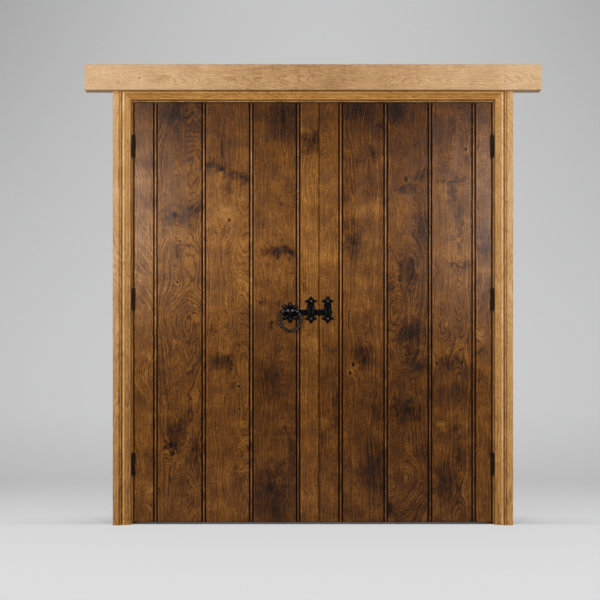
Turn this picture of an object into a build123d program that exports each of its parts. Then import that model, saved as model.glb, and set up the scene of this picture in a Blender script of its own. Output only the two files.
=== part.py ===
"""A pair of dark-stained oak plank doors in a light oak frame, in millimetres.

X runs along the wall, Y into the wall and Z up. The origin is the centre of the doorway, on the floor,
in the plane of the wall's face, where the backs of the architraves bear on the wall.
Both leaves open towards -Y. The left leaf carries the ring latch and opens first.
"""

import os
from math import asin, cos, radians, sin, tan

from build123d import *

os.makedirs("parts", exist_ok=True)

# ---------------------------------------------------------------- driving dimensions
# leaves
LEFT_LEAF_WIDTH = 871.0
RIGHT_LEAF_WIDTH = 814.0
LEAF_HEIGHT = 1981.0
LEAF_GAP = 3.0  # between a leaf and the frame, and between the two leaves
FLOOR_GAP = 10.0
FACE_SETBACK = 1.0  # leaf face behind the wall's face
BOARD_THICKNESS = 22.0
BACK_FRAME_THICKNESS = 22.0
LEFT_COVERS = [107.9, 228.1, 224.5, 221.2, 89.3]  # cover widths of the boards, from the left
RIGHT_COVERS = [108.8, 212.7, 208.9, 206.6, 77.0]  # a leaf of another width shares the difference
STILE_WIDTH = 95.0
MID_RAIL_HEIGHT = 120.0
RAIL_COUNT = 6
NAIL_ROW_INSET = 76.0  # first and last row of nails, from the leaf's ends
NAIL_EDGE = 30.0  # nails, from a board's cover edges
NAIL_SPACING_MIN = 16.0  # between the two nails of a narrow board
MEETING_REBATE = 12.0  # the right leaf's back frame laps behind the left leaf's boards by this
REBATE_PLAY = 1.5

# tongue, groove and bead of the boards
TONGUE_THICKNESS = 6.0
TONGUE_LENGTH = 8.0
TONGUE_PLAY = 0.2
TONGUE_DEPTH = 9.0  # tongue's front cheek behind the face
GROOVE_EXTRA = 0.6
BEAD_WIDTH = 14.0
BEAD_DROP = 4.5
QUIRK_WIDTH = 4.5
QUIRK_DEPTH = 5.5
JOINT_CHAMFER = 3.0
EDGE_ARRIS = 3.5

# tenons of the leaf frames
TENON_LENGTH = 45.0
TENON_THICKNESS = 8.0
TENON_SHOULDER = 10.0
TENON_PLAY = 0.1

# frame
MEMBER_THICKNESS = 44.0
MEMBER_DEPTH = 122.0
STOP_THICKNESS = 12.0
STOP_CLEARANCE = 2.0  # behind the closed leaf
JAMB_TENON = (16.0, 70.0, 30.0)  # thickness, width, height of the tenon into the head
ARCHITRAVE_WIDTH = 82.0
ARCHITRAVE_THICKNESS = 28.0
SIDE_MARGIN = 10.0  # strip of jamb left showing beside the architrave
HEAD_MARGIN = 6.0
HEAD_ARCHITRAVE_SHOWING = 38.0  # below the lintel
LINTEL_OVERHANG = 128.0  # past the architraves
LINTEL_THICKNESS = 45.0
LINTEL_HEIGHT = 120.0
LINTEL_ARRIS = 2.0
WALL_FIXING_RADIUS = 5.0
WALL_FIXING_INSET = 30.0  # from the frame's back edge
WALL_FIXING_END = 250.0  # first and last fixing, from the floor and from the head
WALL_FIXING_COUNT = 4

# hinges
HINGE_HEIGHT = 102.0
HINGE_PLATE = 3.0
HINGE_PLATE_DEPTH = 32.0  # plate's far edge behind the wall's face
HINGE_PLATE_PLAY = 0.25  # each plate from the middle of the gap
KNUCKLE_RADIUS = 7.0
KNUCKLE_OUT = 8.5  # knuckle's axis in front of the leaf face
KNUCKLE_COUNT = 5
KNUCKLE_PLAY = 0.3
PIN_RADIUS = 3.0
PIN_FIT = 0.05
PIN_TIP = 2.5
PIN_TIP_RADIUS = 5.0
HINGE_FROM_TOP = 206.0  # middle of the top hinge, below the leaf's top
HINGE_FROM_BOTTOM = 275.5
HINGE_MIDDLE_RAISED = 26.75  # middle hinge, above halfway between the other two
HINGE_SCREW_ROWS = [(-38.0, 27.0), (-14.0, 12.0), (14.0, 27.0), (38.0, 12.0)]  # height, depth

# screws and nails
SCREW_LENGTH = 25.0
SCREW_RADIUS = 2.2
SCREW_HEAD_RADIUS = 4.2
SCREW_HEAD_HEIGHT = 2.4
SCREW_SLOT = 1.0
SCREW_FIT = 0.05
NAIL_RADIUS = 1.6
NAIL_HEAD_RADIUS = 3.2
NAIL_HEAD_HEIGHT = 1.5
NAIL_SUNK = 0.6
NAIL_LENGTH = 38.0

# latch
ROSE_FROM_MEETING = 133.5  # spindle, from the left leaf's meeting edge
GUIDE_FROM_MEETING = 36.0
KEEPER_FROM_MEETING = 39.8  # into the right leaf
ROSE_BASE = (34.0, 4.0)  # radius, thickness
ROSE_HUB = (18.0, 6.5)
PETAL_COUNT = 8
PETAL_REACH = 54.0
PETAL_ROOT = 14.0
PETAL_BULGE = 13.5  # radius of a petal at its widest
PETAL_WIDEST = 39.5
PETAL_HEIGHT = 6.0
ROSE_SCREW_RING = 35.0
NECK_RADIUS = 9.0
NECK_FIT = 0.08
SQUARE = 15.0
BAR_THICKNESS = 6.0
BAR_HEIGHT = 25.0
BAR_REACH = 198.0
BAR_BACK = 7.0  # bar's back, in front of the leaf face
BAR_SEAT = 0.3  # between the bar and the floors of guide and keeper
LIFT_ANGLE = 7.0
COLLAR = (13.5, 4.5)
DOME_RADIUS = 12.0
PIVOT_OUT = 24.0  # ring's pivot, in front of the leaf face
PIVOT_UP = 6.5  # ring's pivot above the spindle
EAR_RADIUS = 6.8
EAR_SPREAD = 10.5
RING_PIN_RADIUS = 2.5
RING_RADIUS = 51.3
RING_BAR_RADIUS = 6.2
RING_BEND = 12.0
RING_SHOULDER = 42.0  # degrees
SPINDLE = 8.0
STRAP_THICKNESS = 3.5
STRAP_WIDTH = 35.0
STRAP_BODY = 67.0
STRAP_CORNER = 9.0
STRAP_UP = 12.0  # middle of guide and keeper above the spindle
FINIAL_SPREAD = 41.0  # finials above and below the strap's middle
FINIAL_UP = 22.5
FINIAL_SIDE = 27.5
FINIAL_WAIST = 10.8
FINIAL_TIP = 4.4
FINIAL_DOME = (10.0, 4.8, 3.4)  # base radius, radius of its flat top, height
BRIDGE_WALL = 5.5
BRIDGE_ROUNDING = 4.2
SLOT_PLAY = 0.5
LIP_HEIGHT = 18.0
INNER_ROSE = (20.5, 4.0)
INNER_SCREW_RING = 15.3
LEVER = (11.0, 5.0, 70.0, 8.0)  # hub radius, thickness, reach, end radius

# ---------------------------------------------------------------- places worked out from them
opening_width = LEFT_LEAF_WIDTH + RIGHT_LEAF_WIDTH + 3 * LEAF_GAP
rebate_x = opening_width / 2  # inner faces of the jambs, beside the leaves
left_edge = -rebate_x + LEAF_GAP
left_meeting = left_edge + LEFT_LEAF_WIDTH
right_meeting = left_meeting + LEAF_GAP
right_edge = right_meeting + RIGHT_LEAF_WIDTH
leaf_bottom = FLOOR_GAP
leaf_top = leaf_bottom + LEAF_HEIGHT
head_under = leaf_top + LEAF_GAP
head_top = head_under + MEMBER_THICKNESS
face_y = FACE_SETBACK
board_back = face_y + BOARD_THICKNESS
leaf_back = board_back + BACK_FRAME_THICKNESS
stop_y = leaf_back + STOP_CLEARANCE
stop_x = rebate_x - STOP_THICKNESS
stop_under = head_under - STOP_THICKNESS
jamb_out = rebate_x + MEMBER_THICKNESS
architrave_in = rebate_x + SIDE_MARGIN
architrave_out = architrave_in + ARCHITRAVE_WIDTH
architrave_under = head_under + HEAD_MARGIN
lintel_under = architrave_under + HEAD_ARCHITRAVE_SHOWING

end_rail_height = 2 * NAIL_ROW_INSET
row_step = (LEAF_HEIGHT - 2 * NAIL_ROW_INSET) / (RAIL_COUNT - 1)
rail_rows = [leaf_bottom + NAIL_ROW_INSET + i * row_step for i in range(RAIL_COUNT)]
rail_heights = [end_rail_height] + [MID_RAIL_HEIGHT] * (RAIL_COUNT - 2) + [end_rail_height]

hinge_y = face_y - KNUCKLE_OUT
top_hinge = leaf_top - HINGE_FROM_TOP
bottom_hinge = leaf_bottom + HINGE_FROM_BOTTOM
hinge_heights = {
    "top": top_hinge,
    "middle": (top_hinge + bottom_hinge) / 2 + HINGE_MIDDLE_RAISED,
    "bottom": bottom_hinge,
}
fixing_step = (head_under - 2 * WALL_FIXING_END) / (WALL_FIXING_COUNT - 1)
fixing_heights = [WALL_FIXING_END + i * fixing_step for i in range(WALL_FIXING_COUNT)]
hinge_x = {"left": -rebate_x + LEAF_GAP / 2, "right": rebate_x - LEAF_GAP / 2}

# the latch lies halfway up the leaf, between the third and fourth rails
latch_z = (rail_rows[RAIL_COUNT // 2 - 1] + rail_rows[RAIL_COUNT // 2]) / 2
rose_x = left_meeting - ROSE_FROM_MEETING
guide_x = left_meeting - GUIDE_FROM_MEETING
keeper_x = right_meeting + KEEPER_FROM_MEETING
bar_back_y = face_y - BAR_BACK
bar_front_y = bar_back_y - BAR_THICKNESS
bar_under = latch_z - BAR_HEIGHT / 2
strap_z = latch_z + STRAP_UP
pivot_y = face_y - PIVOT_OUT
pivot_z = latch_z + PIVOT_UP
finial_top_y = face_y - STRAP_THICKNESS - FINIAL_DOME[2]
petal_top_y = face_y - PETAL_HEIGHT
inner_rose_back = board_back + INNER_ROSE[1]


def front(y):
    """The upright plane at depth y that faces the room: local x is X and local y is Z."""
    return Plane.XZ.offset(-y)


def save(piece, name):
    """Label one finished piece and write its STEP file."""
    piece.label = name
    export_step(piece, f"parts/{name}.step")


def facing(x, y, z, out):
    """A place whose own z axis points along out, for a screw or a nail seen from out."""
    return Plane(origin=(x, y, z), z_dir=out).location


TO_ROOM, TO_WALL, TO_LEFT, TO_RIGHT = (0, -1, 0), (0, 1, 0), (-1, 0, 0), (1, 0, 0)

# ---------------------------------------------------------------- screws, nails and the holes they need
# Each is drawn head up, its head's top at z = 0, and is set in place by its location.


def screw_body(play):
    """A countersunk screw's solid of revolution, or with play the hole for it."""
    with BuildPart() as body:
        with BuildSketch(Plane.XZ):
            with BuildLine():
                Polyline(
                    (0, play),
                    (SCREW_HEAD_RADIUS + play, play),
                    (SCREW_HEAD_RADIUS + play, 0),
                    (SCREW_RADIUS + play, -SCREW_HEAD_HEIGHT),
                    (SCREW_RADIUS + play, -SCREW_LENGTH + SCREW_RADIUS),
                    (0, -SCREW_LENGTH - play),
                    close=True,
                )
            make_face()
        revolve(axis=Axis.Z)
    return body.part


def slotted_screw():
    """The screw itself, with its driving slot."""
    with BuildPart() as screw:
        with BuildSketch(Plane.XZ):
            with BuildLine():
                Polyline(
                    (0, 0),
                    (SCREW_HEAD_RADIUS, 0),
                    (SCREW_RADIUS, -SCREW_HEAD_HEIGHT),
                    (SCREW_RADIUS, -SCREW_LENGTH + SCREW_RADIUS),
                    (0, -SCREW_LENGTH),
                    close=True,
                )
            make_face()
        revolve(axis=Axis.Z)
        Box(3 * SCREW_HEAD_RADIUS, SCREW_SLOT, 2 * SCREW_SLOT, mode=Mode.SUBTRACT)
    return screw.part


def nail_body(head_top_z):
    """A round-headed nail below z = 0, or with head_top_z at 0 the counterbored hole it fills."""
    with BuildPart() as body:
        with BuildSketch(Plane.XY.offset(head_top_z)):
            Circle(NAIL_HEAD_RADIUS)
        extrude(amount=-NAIL_SUNK - NAIL_HEAD_HEIGHT - head_top_z)
        with BuildSketch(Plane.XY.offset(-NAIL_SUNK - NAIL_HEAD_HEIGHT)):
            Circle(NAIL_RADIUS)
        extrude(amount=-NAIL_LENGTH)
    return body.part


screw_hole = screw_body(SCREW_FIT)
screw = slotted_screw()
nail_hole = nail_body(0)
nail = nail_body(-NAIL_SUNK)


def place_all(shape, places, name):
    """One node of identical fasteners, each a solid of its own."""
    with BuildPart() as group:
        with Locations(*places):
            add(shape)
    save(group.part, name)


# ---------------------------------------------------------------- hinge fixings, shared by wood and metal
def hinge_screws(side, heights):
    """Screw places in the frame plates and in the door plates of one side's hinges."""
    into_frame = -1 if side == "left" else 1
    out_of_frame, out_of_leaf = (TO_RIGHT, TO_LEFT) if side == "left" else (TO_LEFT, TO_RIGHT)
    frame_places, leaf_places = [], []
    for z in heights:
        for dz, depth in HINGE_SCREW_ROWS:
            x = hinge_x[side] + into_frame * HINGE_PLATE_PLAY
            frame_places.append(facing(x, depth, z + dz, out_of_frame))
            x = hinge_x[side] - into_frame * HINGE_PLATE_PLAY
            leaf_places.append(facing(x, depth, z + dz, out_of_leaf))
    return frame_places, leaf_places


def cut_hinge_gains(side, of_leaf):
    """Recesses for the hinge plates, cut in the part being built."""
    into_frame = -1 if side == "left" else 1
    way = -into_frame if of_leaf else into_frame
    near = hinge_x[side]
    far = near + way * (HINGE_PLATE_PLAY + HINGE_PLATE)
    for z in hinge_heights.values():
        with Locations(((near + far) / 2, 0, z)):
            Box(
                abs(far - near),
                2 * HINGE_PLATE_DEPTH,
                HINGE_HEIGHT,
                mode=Mode.SUBTRACT,
            )


frame_screw_places, leaf_screw_places = {}, {}
for side in ("left", "right"):
    places = hinge_screws(side, hinge_heights.values())
    frame_screw_places[side], leaf_screw_places[side] = places

# ---------------------------------------------------------------- frame: jambs and head, rebated from solid
for side, sign in (("left", -1), ("right", 1)):
    with BuildPart() as jamb:
        with BuildSketch(Plane.XY):
            with BuildLine():
                Polyline(
                    (sign * jamb_out, 0),
                    (sign * rebate_x, 0),
                    (sign * rebate_x, stop_y),
                    (sign * stop_x, stop_y),
                    (sign * stop_x, MEMBER_DEPTH),
                    (sign * jamb_out, MEMBER_DEPTH),
                    close=True,
                )
            make_face()
        extrude(amount=head_under)
        # the tenon that enters the head
        thickness, width, height = JAMB_TENON
        with BuildSketch(Plane.XY.offset(head_under)):
            with Locations((sign * (rebate_x + MEMBER_THICKNESS / 2), MEMBER_DEPTH / 2)):
                Rectangle(thickness, width)
        extrude(amount=height)
        cut_hinge_gains(side, of_leaf=False)
        with Locations(*frame_screw_places[side]):
            add(screw_hole, mode=Mode.SUBTRACT)
        # plain holes for the wall fixings, behind the closed leaf
        for z in fixing_heights:
            with Locations(facing(sign * jamb_out, MEMBER_DEPTH - WALL_FIXING_INSET, z, TO_RIGHT)):
                Cylinder(WALL_FIXING_RADIUS, 3 * MEMBER_THICKNESS, mode=Mode.SUBTRACT)
    save(jamb.part, f"{side}_jamb")

with BuildPart() as frame_head:
    with BuildSketch(Plane.YZ.offset(-jamb_out)):
        with Locations((MEMBER_DEPTH / 2, (head_under + head_top) / 2)):
            Rectangle(MEMBER_DEPTH, MEMBER_THICKNESS)
    extrude(amount=2 * jamb_out)
    with BuildSketch(Plane.YZ.offset(-stop_x)):
        with Locations(((stop_y + MEMBER_DEPTH) / 2, (stop_under + head_under) / 2)):
            Rectangle(MEMBER_DEPTH - stop_y, STOP_THICKNESS)
    extrude(amount=2 * stop_x)
    thickness, width, height = JAMB_TENON
    with BuildSketch(Plane.XY.offset(head_under)):
        for sign in (-1, 1):
            with Locations((sign * (rebate_x + MEMBER_THICKNESS / 2), MEMBER_DEPTH / 2)):
                Rectangle(thickness + 2 * TENON_PLAY, width + 2 * TENON_PLAY)
    extrude(amount=height + 1, mode=Mode.SUBTRACT)
save(frame_head.part, "frame_head")


# ---------------------------------------------------------------- architraves and lintel
full = ARCHITRAVE_THICKNESS
band, small_bead, deep_quirk = 29.0, 7.0, 4.5  # the flat band, the small bead and the quirk beside it
bead_start = band + 2.5
quirk_start = bead_start + small_bead
arris = quirk_start + deep_quirk
lip = 10.0
cove_end = ARCHITRAVE_WIDTH - lip - 2.0
ogee_mid = (arris + cove_end) / 2
# the moulding's section: x from the outer edge towards the opening, y the thickness
with BuildSketch() as moulding:
    with BuildLine():
        Line((0, 0), (0, full - 1.5))
        ThreePointArc((0, full - 1.5), (0.44, full - 0.44), (1.5, full))
        Polyline((1.5, full), (band, full), (band + 1.2, full - 3), (bead_start, full - 3))
        ThreePointArc(
            (bead_start, full - 3),
            (bead_start + small_bead / 2, full - 0.4),
            (quirk_start, full - 3),
        )
        Polyline(
            (quirk_start, full - 3),
            (quirk_start + 1.0, full - 8),
            (arris - 1.0, full - 8),
            (arris, full - 4),
        )
        ThreePointArc((arris, full - 4), (arris + 3.5, full - 1.6), (ogee_mid, full - 6))
        ThreePointArc(
            (ogee_mid, full - 6),
            (cove_end - 6, full - 12.2),
            (cove_end, full - 13.5),
        )
        Line((cove_end, full - 13.5), (cove_end + 2.0, full - 13.5))
        ThreePointArc(
            (cove_end + 2.0, full - 13.5),
            (ARCHITRAVE_WIDTH - lip / 2, full - 9),
            (ARCHITRAVE_WIDTH, full - 12.5),
        )
        Polyline((ARCHITRAVE_WIDTH, full - 12.5), (ARCHITRAVE_WIDTH, 0), (0, 0))
    make_face()

mitre_corner = (architrave_in, architrave_under)
mitre_out = (architrave_in + HEAD_ARCHITRAVE_SHOWING, lintel_under)

for side, sign in (("left", -1), ("right", 1)):
    outer = Plane(
        origin=(sign * architrave_out, 0, 0),
        x_dir=(-sign, 0, 0),
        z_dir=(0, 0, sign),
    )
    with BuildPart() as architrave:
        with BuildSketch(outer):
            add(moulding.sketch)
        extrude(amount=sign * lintel_under)
        # the mitre with the head, from the inner corner up to the lintel
        with BuildSketch(front(0)):
            with BuildLine():
                Polyline(
                    (sign * mitre_corner[0], mitre_corner[1]),
                    (sign * mitre_out[0], mitre_out[1]),
                    (sign * mitre_corner[0], mitre_out[1]),
                    close=True,
                )
            make_face()
        extrude(amount=ARCHITRAVE_THICKNESS, mode=Mode.SUBTRACT)
    save(architrave.part, f"{side}_architrave")

with BuildPart() as head_architrave:
    over_the_door = Plane(
        origin=(mitre_out[0], 0, architrave_under + ARCHITRAVE_WIDTH),
        x_dir=(0, 0, -1),
        z_dir=(-1, 0, 0),
    )
    with BuildSketch(over_the_door):
        add(moulding.sketch)
    extrude(amount=2 * mitre_out[0])
    # cut down to the lintel and mitred at both ends
    with BuildSketch(front(0)):
        with BuildLine():
            Polyline(
                (-mitre_corner[0], mitre_corner[1]),
                (mitre_corner[0], mitre_corner[1]),
                mitre_out,
                (-mitre_out[0], mitre_out[1]),
                close=True,
            )
        make_face()
    extrude(amount=ARCHITRAVE_THICKNESS, mode=Mode.INTERSECT)
save(head_architrave.part, "head_architrave")

lintel_end = architrave_out + LINTEL_OVERHANG
with BuildPart() as lintel:
    with BuildSketch(Plane.YZ.offset(-lintel_end)):
        with Locations((-LINTEL_THICKNESS / 2, lintel_under + LINTEL_HEIGHT / 2)):
            Rectangle(LINTEL_THICKNESS, LINTEL_HEIGHT)
    extrude(amount=2 * lintel_end)
    chamfer(lintel.edges().filter_by(Axis.X).group_by(Axis.Y)[0], LINTEL_ARRIS)
save(lintel.part, "lintel")


# ---------------------------------------------------------------- boards of the leaves
def board_section(left, right, first, last):
    """Section of a board: groove on its left edge, bead and tongue on its right one."""
    tongue_front, tongue_back = face_y + TONGUE_DEPTH, face_y + TONGUE_DEPTH + TONGUE_THICKNESS
    if first:
        left_side = [(left, board_back), (left, face_y + EDGE_ARRIS), (left + EDGE_ARRIS, face_y)]
    else:
        bottom = left + TONGUE_LENGTH + GROOVE_EXTRA
        left_side = [
            (left, board_back),
            (left, tongue_back + TONGUE_PLAY),
            (bottom, tongue_back + TONGUE_PLAY),
            (bottom, tongue_front - TONGUE_PLAY),
            (left, tongue_front - TONGUE_PLAY),
            (left, face_y + JOINT_CHAMFER),
            (left + JOINT_CHAMFER, face_y),
        ]
    with BuildSketch() as section:
        with BuildLine():
            if last:
                Polyline(
                    *left_side,
                    (right - EDGE_ARRIS, face_y),
                    (right, face_y + EDGE_ARRIS),
                    (right, board_back),
                    close=True,
                )
            else:
                bead = right - BEAD_WIDTH
                Polyline(
                    *left_side,
                    (bead - QUIRK_WIDTH, face_y),
                    (bead - 0.5, face_y + QUIRK_DEPTH),
                    (bead, face_y + BEAD_DROP),
                )
                ThreePointArc(
                    (bead, face_y + BEAD_DROP),
                    (bead + BEAD_WIDTH / 2, face_y),
                    (right, face_y + BEAD_DROP),
                )
                Polyline(
                    (right, face_y + BEAD_DROP),
                    (right, tongue_front),
                    (right + TONGUE_LENGTH, tongue_front),
                    (right + TONGUE_LENGTH, tongue_back),
                    (right, tongue_back),
                    (right, board_back),
                    (left, board_back),
                )
        make_face()
    return section.sketch


def board_edges(start, end, covers):
    """Cover edges of a leaf's boards, each made wider or narrower by an equal share of any difference."""
    share = (end - start - sum(covers)) / len(covers)
    edges = [start]
    for cover in covers:
        edges.append(edges[-1] + cover + share)
    return edges


board_lines = {
    "left": board_edges(left_edge, left_meeting, LEFT_COVERS),
    "right": board_edges(right_meeting, right_edge, RIGHT_COVERS),
}
nail_places = {}
for side, lines in board_lines.items():
    columns = []
    for left, right in zip(lines, lines[1:]):
        inset = min(NAIL_EDGE, (right - left - NAIL_SPACING_MIN) / 2)
        columns += [left + inset, right - inset]
    nail_places[side] = [facing(x, face_y, z, TO_ROOM) for x in columns for z in rail_rows]

# fixings of the latch pieces
petal_screws = [
    (rose_x + ROSE_SCREW_RING * cos(radians(a)), latch_z + ROSE_SCREW_RING * sin(radians(a)))
    for a in (45, 135, 225, 315)
]
rose_places = [facing(x, petal_top_y + 0.8, z, TO_ROOM) for x, z in petal_screws]
finial_heights = (strap_z - FINIAL_SPREAD, strap_z + FINIAL_SPREAD)
guide_places = [facing(guide_x, finial_top_y, z, TO_ROOM) for z in finial_heights]
keeper_places = [facing(keeper_x, finial_top_y, z, TO_ROOM) for z in finial_heights]
inner_places = [
    facing(rose_x + way * INNER_SCREW_RING, inner_rose_back, latch_z, TO_WALL)
    for way in (-1, 1)
]
wood_places = {
    "left": leaf_screw_places["left"] + rose_places + guide_places + inner_places,
    "right": leaf_screw_places["right"] + keeper_places,
}

for side, lines in board_lines.items():
    hinge_board = 1 if side == "left" else len(lines) - 1
    for number, (left, right) in enumerate(zip(lines, lines[1:]), start=1):
        section = board_section(left, right, number == 1, number == len(lines) - 1)
        with BuildPart() as board:
            with BuildSketch(Plane.XY.offset(leaf_bottom)):
                add(section)
            extrude(amount=LEAF_HEIGHT)
            if number == hinge_board:
                cut_hinge_gains(side, of_leaf=True)
            near = SCREW_HEAD_RADIUS + TONGUE_LENGTH
            reach = [p for p in wood_places[side] if left - near < p.position.X < right + near]
            nails_here = [p for p in nail_places[side] if left < p.position.X < right]
            if reach:
                with Locations(*reach):
                    add(screw_hole, mode=Mode.SUBTRACT)
            with Locations(*nails_here):
                add(nail_hole, mode=Mode.SUBTRACT)
            near = NECK_RADIUS + TONGUE_LENGTH
            if side == "left" and left - near < rose_x < right + near:
                with Locations(facing(rose_x, face_y, latch_z, TO_ROOM)):
                    Cylinder(NECK_RADIUS, 4 * BOARD_THICKNESS, mode=Mode.SUBTRACT)
        save(board.part, f"{side}_board_{number}")

# ---------------------------------------------------------------- stiles and rails behind the boards
mid_y = (board_back + leaf_back) / 2
stiles = {
    "left": {
        "hinge": (left_edge, left_edge + STILE_WIDTH),
        "meeting": (
            left_meeting - MEETING_REBATE - LEAF_GAP - STILE_WIDTH,
            left_meeting - MEETING_REBATE - LEAF_GAP,
        ),
    },
    "right": {
        "hinge": (right_edge - STILE_WIDTH, right_edge),
        "meeting": (right_meeting - MEETING_REBATE, right_meeting - MEETING_REBATE + STILE_WIDTH),
    },
}
for side, pair in stiles.items():
    for kind, (left, right) in pair.items():
        with BuildPart() as stile:
            with BuildSketch(Plane.XY.offset(leaf_bottom)):
                with Locations(((left + right) / 2, mid_y)):
                    Rectangle(right - left, BACK_FRAME_THICKNESS)
            extrude(amount=LEAF_HEIGHT)
            # mortises for the rails, open to the inner edge
            inner = right if left in (stiles["left"]["hinge"][0], stiles["right"]["meeting"][0]) else left
            toward = 1 if inner == left else -1
            for z, height in zip(rail_rows, rail_heights):
                with Locations((inner + toward * TENON_LENGTH / 2, mid_y, z)):
                    Box(
                        TENON_LENGTH + 2 * TENON_PLAY,
                        TENON_THICKNESS + 2 * TENON_PLAY,
                        height - 2 * TENON_SHOULDER + 2 * TENON_PLAY,
                        mode=Mode.SUBTRACT,
                    )
            if side == "right" and kind == "meeting":
                with Locations(((left + right_meeting) / 2, board_back, LEAF_HEIGHT / 2 + leaf_bottom)):
                    Box(
                        right_meeting - left,
                        2 * REBATE_PLAY,
                        LEAF_HEIGHT,
                        mode=Mode.SUBTRACT,
                    )
            if kind == "hinge":
                cut_hinge_gains(side, of_leaf=True)
                with Locations(*leaf_screw_places[side]):
                    add(screw_hole, mode=Mode.SUBTRACT)
            with Locations(*nail_places[side]):
                add(nail_hole, mode=Mode.SUBTRACT)
        save(stile.part, f"{side}_{kind}_stile")

for side, pair in stiles.items():
    inner_left, inner_right = sorted(x for ends in pair.values() for x in ends)[1:3]
    for number, (z, height) in enumerate(zip(rail_rows, rail_heights), start=1):
        with BuildPart() as rail:
            middle = (inner_left + inner_right) / 2
            with Locations((middle, mid_y, z)):
                Box(inner_right - inner_left, BACK_FRAME_THICKNESS, height)
                Box(
                    inner_right - inner_left + 2 * TENON_LENGTH,
                    TENON_THICKNESS,
                    height - 2 * TENON_SHOULDER,
                )
            with Locations(*[p for p in nail_places[side] if abs(p.position.Z - z) < 1]):
                add(nail_hole, mode=Mode.SUBTRACT)
        save(rail.part, f"{side}_rail_{number}")

# ---------------------------------------------------------------- hinges
segment = HINGE_HEIGHT / KNUCKLE_COUNT
for side in ("left", "right"):
    into_frame = -1 if side == "left" else 1
    for place, z in hinge_heights.items():
        low = z - HINGE_HEIGHT / 2
        axis_line = (hinge_x[side], hinge_y)
        for half, way, own, places in (
            ("frame", into_frame, 0, frame_screw_places[side]),
            ("door", -into_frame, 1, leaf_screw_places[side]),
        ):
            with BuildPart() as plate:
                near = hinge_x[side] + way * HINGE_PLATE_PLAY
                far = near + way * HINGE_PLATE
                with BuildSketch(Plane.XY.offset(low)):
                    with Locations(((near + far) / 2, (hinge_y + HINGE_PLATE_DEPTH) / 2)):
                        Rectangle(HINGE_PLATE, HINGE_PLATE_DEPTH - hinge_y)
                extrude(amount=HINGE_HEIGHT)
                # room for the other half's knuckles, then this half's own
                for k in range(KNUCKLE_COUNT):
                    base = low + k * segment
                    if k % 2 != own:
                        with BuildSketch(Plane.XY.offset(base - KNUCKLE_PLAY / 2)):
                            with Locations(axis_line):
                                Circle(KNUCKLE_RADIUS + KNUCKLE_PLAY)
                        extrude(amount=segment + KNUCKLE_PLAY, mode=Mode.SUBTRACT)
                for k in range(own, KNUCKLE_COUNT, 2):
                    start = low + k * segment + (KNUCKLE_PLAY / 2 if k else 0)
                    end = low + (k + 1) * segment - (KNUCKLE_PLAY / 2 if k < KNUCKLE_COUNT - 1 else 0)
                    with BuildSketch(Plane.XY.offset(start)):
                        with Locations(axis_line):
                            Circle(KNUCKLE_RADIUS)
                    extrude(amount=end - start)
                with BuildSketch(Plane.XY.offset(low)):
                    with Locations(axis_line):
                        Circle(PIN_RADIUS + PIN_FIT)
                extrude(amount=HINGE_HEIGHT, mode=Mode.SUBTRACT)
                with Locations(*[p for p in places if abs(p.position.Z - z) < HINGE_HEIGHT / 2]):
                    add(screw_hole, mode=Mode.SUBTRACT)
            save(plate.part, f"{side}_{place}_hinge_{half}_plate")

with BuildPart() as hinge_pins:
    for side in ("left", "right"):
        for z in hinge_heights.values():
            low = z - HINGE_HEIGHT / 2
            for start, length, radius in (
                (low, HINGE_HEIGHT, PIN_RADIUS),
                (low - PIN_TIP, PIN_TIP, PIN_TIP_RADIUS),
                (low + HINGE_HEIGHT, PIN_TIP, PIN_TIP_RADIUS),
            ):
                with BuildSketch(Plane.XY.offset(start)):
                    with Locations((hinge_x[side], hinge_y)):
                        Circle(radius)
                extrude(amount=length)
save(hinge_pins.part, "hinge_pins")

# ---------------------------------------------------------------- fasteners
place_all(screw, frame_screw_places["left"] + frame_screw_places["right"], "frame_screws")
for side in ("left", "right"):
    place_all(screw, wood_places[side], f"{side}_leaf_screws")
    place_all(nail, nail_places[side], f"{side}_leaf_nails")

# ---------------------------------------------------------------- latch: rose, boss, bar, inner side
with BuildPart() as rose:
    with BuildSketch(front(face_y)):
        with Locations((rose_x, latch_z)):
            Circle(ROSE_BASE[0])
    extrude(amount=ROSE_BASE[1])
    with BuildSketch(front(face_y)):
        with Locations((rose_x, latch_z)):
            Circle(ROSE_HUB[0])
    extrude(amount=ROSE_HUB[1])
    # petals: almond-shaped domes that lie radially, sunk so that PETAL_HEIGHT stands proud
    sunk_y = face_y - PETAL_HEIGHT + PETAL_BULGE
    for i in range(PETAL_COUNT):
        angle = 360 / PETAL_COUNT * i
        along = Vector(cos(radians(angle)), 0, sin(radians(angle)))
        petal_plane = Plane(origin=(rose_x, sunk_y, latch_z), x_dir=along, z_dir=along.cross(Vector(0, 1, 0)))
        with BuildSketch(petal_plane):
            with BuildLine():
                Polyline((PETAL_REACH, 0), (PETAL_ROOT, 0))
                Spline(
                    (PETAL_ROOT, 0),
                    (PETAL_WIDEST, PETAL_BULGE),
                    (PETAL_REACH, 0),
                    tangents=[(0.4, 1), (0.35, -1)],
                )
            make_face()
        revolve(axis=Axis((rose_x, sunk_y, latch_z), along))
    split(bisect_by=Plane.XZ.offset(-face_y), keep=Keep.TOP)
    with BuildSketch(front(face_y)):
        with Locations((rose_x, latch_z)):
            Circle(NECK_RADIUS)
    extrude(amount=2 * ROSE_HUB[1], mode=Mode.SUBTRACT)
    with Locations(*rose_places):
        add(screw_hole, mode=Mode.SUBTRACT)
save(rose.part, "latch_rose")

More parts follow.
